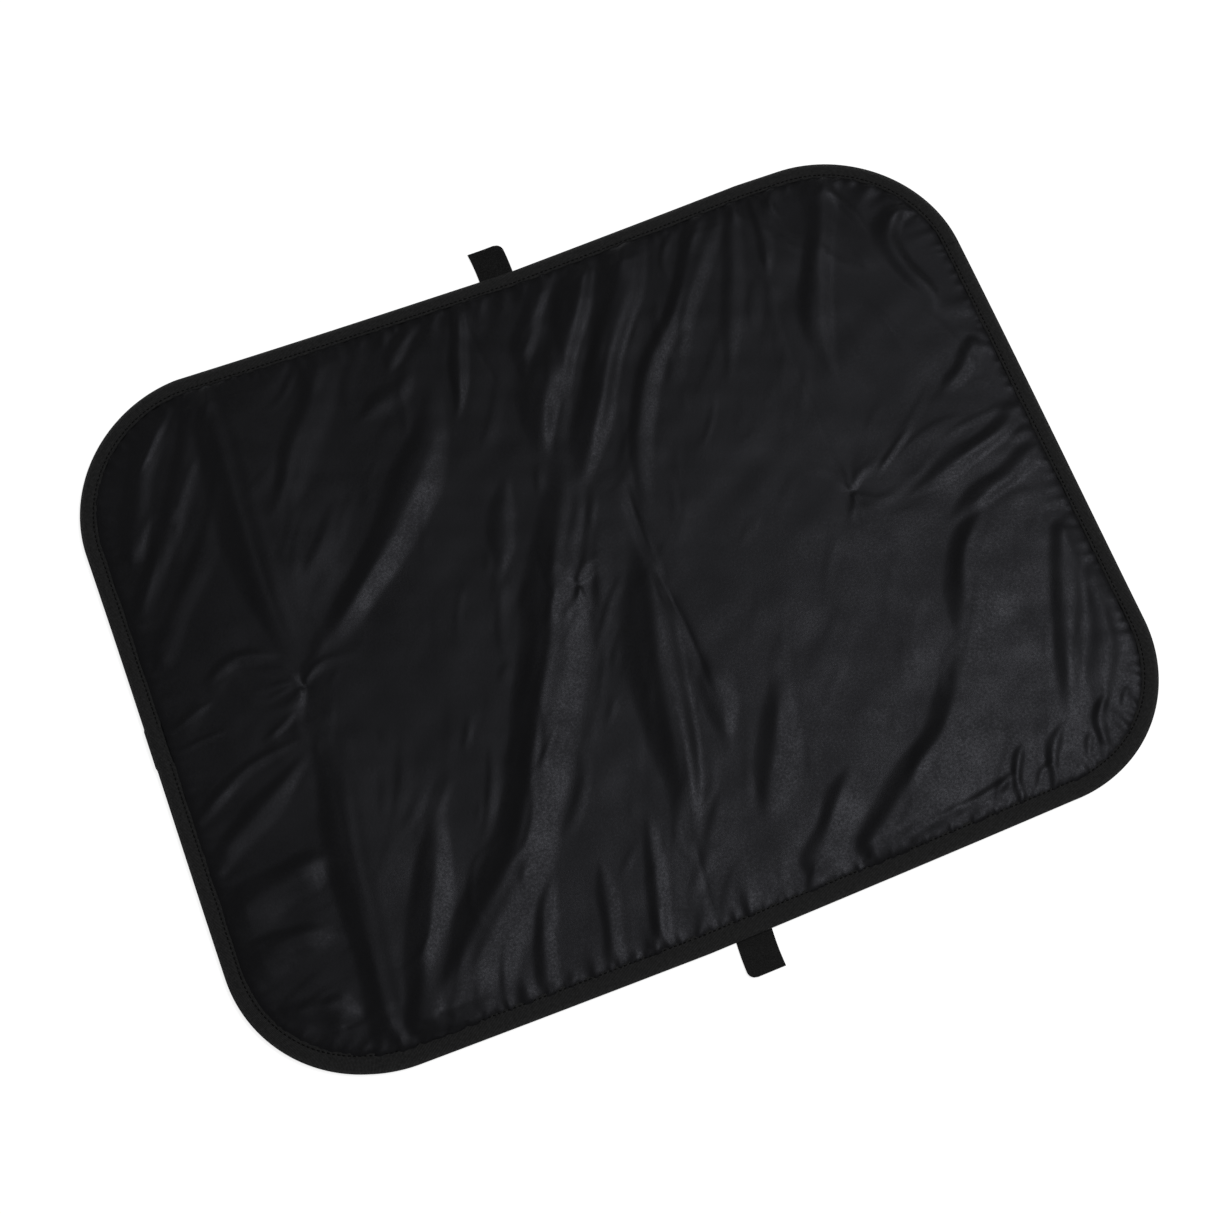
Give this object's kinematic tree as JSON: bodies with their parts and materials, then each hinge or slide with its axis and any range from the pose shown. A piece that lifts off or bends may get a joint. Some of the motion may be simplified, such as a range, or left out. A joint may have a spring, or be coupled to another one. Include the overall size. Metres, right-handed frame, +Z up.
{
  "type": "folding changing mat",
  "caption": "Flat padded black changing mat with a satin cover, bound edges, folding panels and a hook-and-loop closure tab on each long edge.",
  "frame": {"origin": "middle of the underside of the open mat, on the surface it lies on", "axes": "+X along the mat's length, +Y across it towards the loop tab, +Z up out of the top cover"},
  "size_m": [0.65, 0.55, 0.014],
  "materials": {
    "cover_fabric": "satin",
    "wadding": "soft fibre",
    "lining_fabric": "coated cloth",
    "binding_tape": "ribbed tape",
    "sewing_thread": "twisted thread",
    "hook_tape": "matte hooks",
    "loop_tape": "fuzzy loops"
  },
  "bodies": {
    "left_end": {"top_cover_left_end": "cover_fabric", "wadding_left_end": "wadding", "lining_left_end": "lining_fabric", "binding_left_end": "binding_tape", "stitching_left_end": "sewing_thread"},
    "left_inner": {"top_cover_left_inner": "cover_fabric", "wadding_left_inner": "wadding", "lining_left_inner": "lining_fabric", "binding_left_inner_front": "binding_tape", "stitching_left_inner_front": "sewing_thread", "binding_left_inner_back": "binding_tape", "stitching_left_inner_back": "sewing_thread"},
    "spine": {"top_cover_spine": "cover_fabric", "wadding_spine": "wadding", "lining_spine": "lining_fabric", "binding_spine_front": "binding_tape", "stitching_spine_front": "sewing_thread", "binding_spine_back": "binding_tape", "stitching_spine_back": "sewing_thread", "loop_tab_root": "loop_tape", "hook_tab_root": "hook_tape"},
    "right_inner": {"top_cover_right_inner": "cover_fabric", "wadding_right_inner": "wadding", "lining_right_inner": "lining_fabric", "binding_right_inner_front": "binding_tape", "stitching_right_inner_front": "sewing_thread", "binding_right_inner_back": "binding_tape", "stitching_right_inner_back": "sewing_thread"},
    "right_end": {"top_cover_right_end": "cover_fabric", "wadding_right_end": "wadding", "lining_right_end": "lining_fabric", "binding_right_end": "binding_tape", "stitching_right_end": "sewing_thread"},
    "loop_tab": {"loop_tab": "loop_tape"},
    "hook_tab": {"hook_tab": "hook_tape"}
  },
  "joints": [
    {"name": "left_inner_fold", "type": "hinge", "parent": "spine", "child": "left_inner", "pos_m": [-0.022, 0, 0.0145], "axis": [0, 1, 0], "range_deg": [0, 90]},
    {"name": "left_end_fold", "type": "hinge", "parent": "left_inner", "child": "left_end", "pos_m": [-0.217, 0, 0.0145], "axis": [0, 1, 0], "range_deg": [0, 178]},
    {"name": "right_inner_fold", "type": "hinge", "parent": "spine", "child": "right_inner", "pos_m": [0.033, 0, 0.0145], "axis": [0, -1, 0], "range_deg": [0, 90]},
    {"name": "right_end_fold", "type": "hinge", "parent": "right_inner", "child": "right_end", "pos_m": [0.18, 0, 0.0145], "axis": [0, -1, 0], "range_deg": [0, 178]},
    {"name": "loop_tab_flex", "type": "hinge", "parent": "spine", "child": "loop_tab", "pos_m": [0.0095, 0.2502, 0.0015], "axis": [1, 0, 0], "range_deg": [0, 90]},
    {"name": "hook_tab_flex", "type": "hinge", "parent": "spine", "child": "hook_tab", "pos_m": [-0.002, -0.2502, 0.0015], "axis": [-1, 0, 0], "range_deg": [0, 90]}
  ]
}
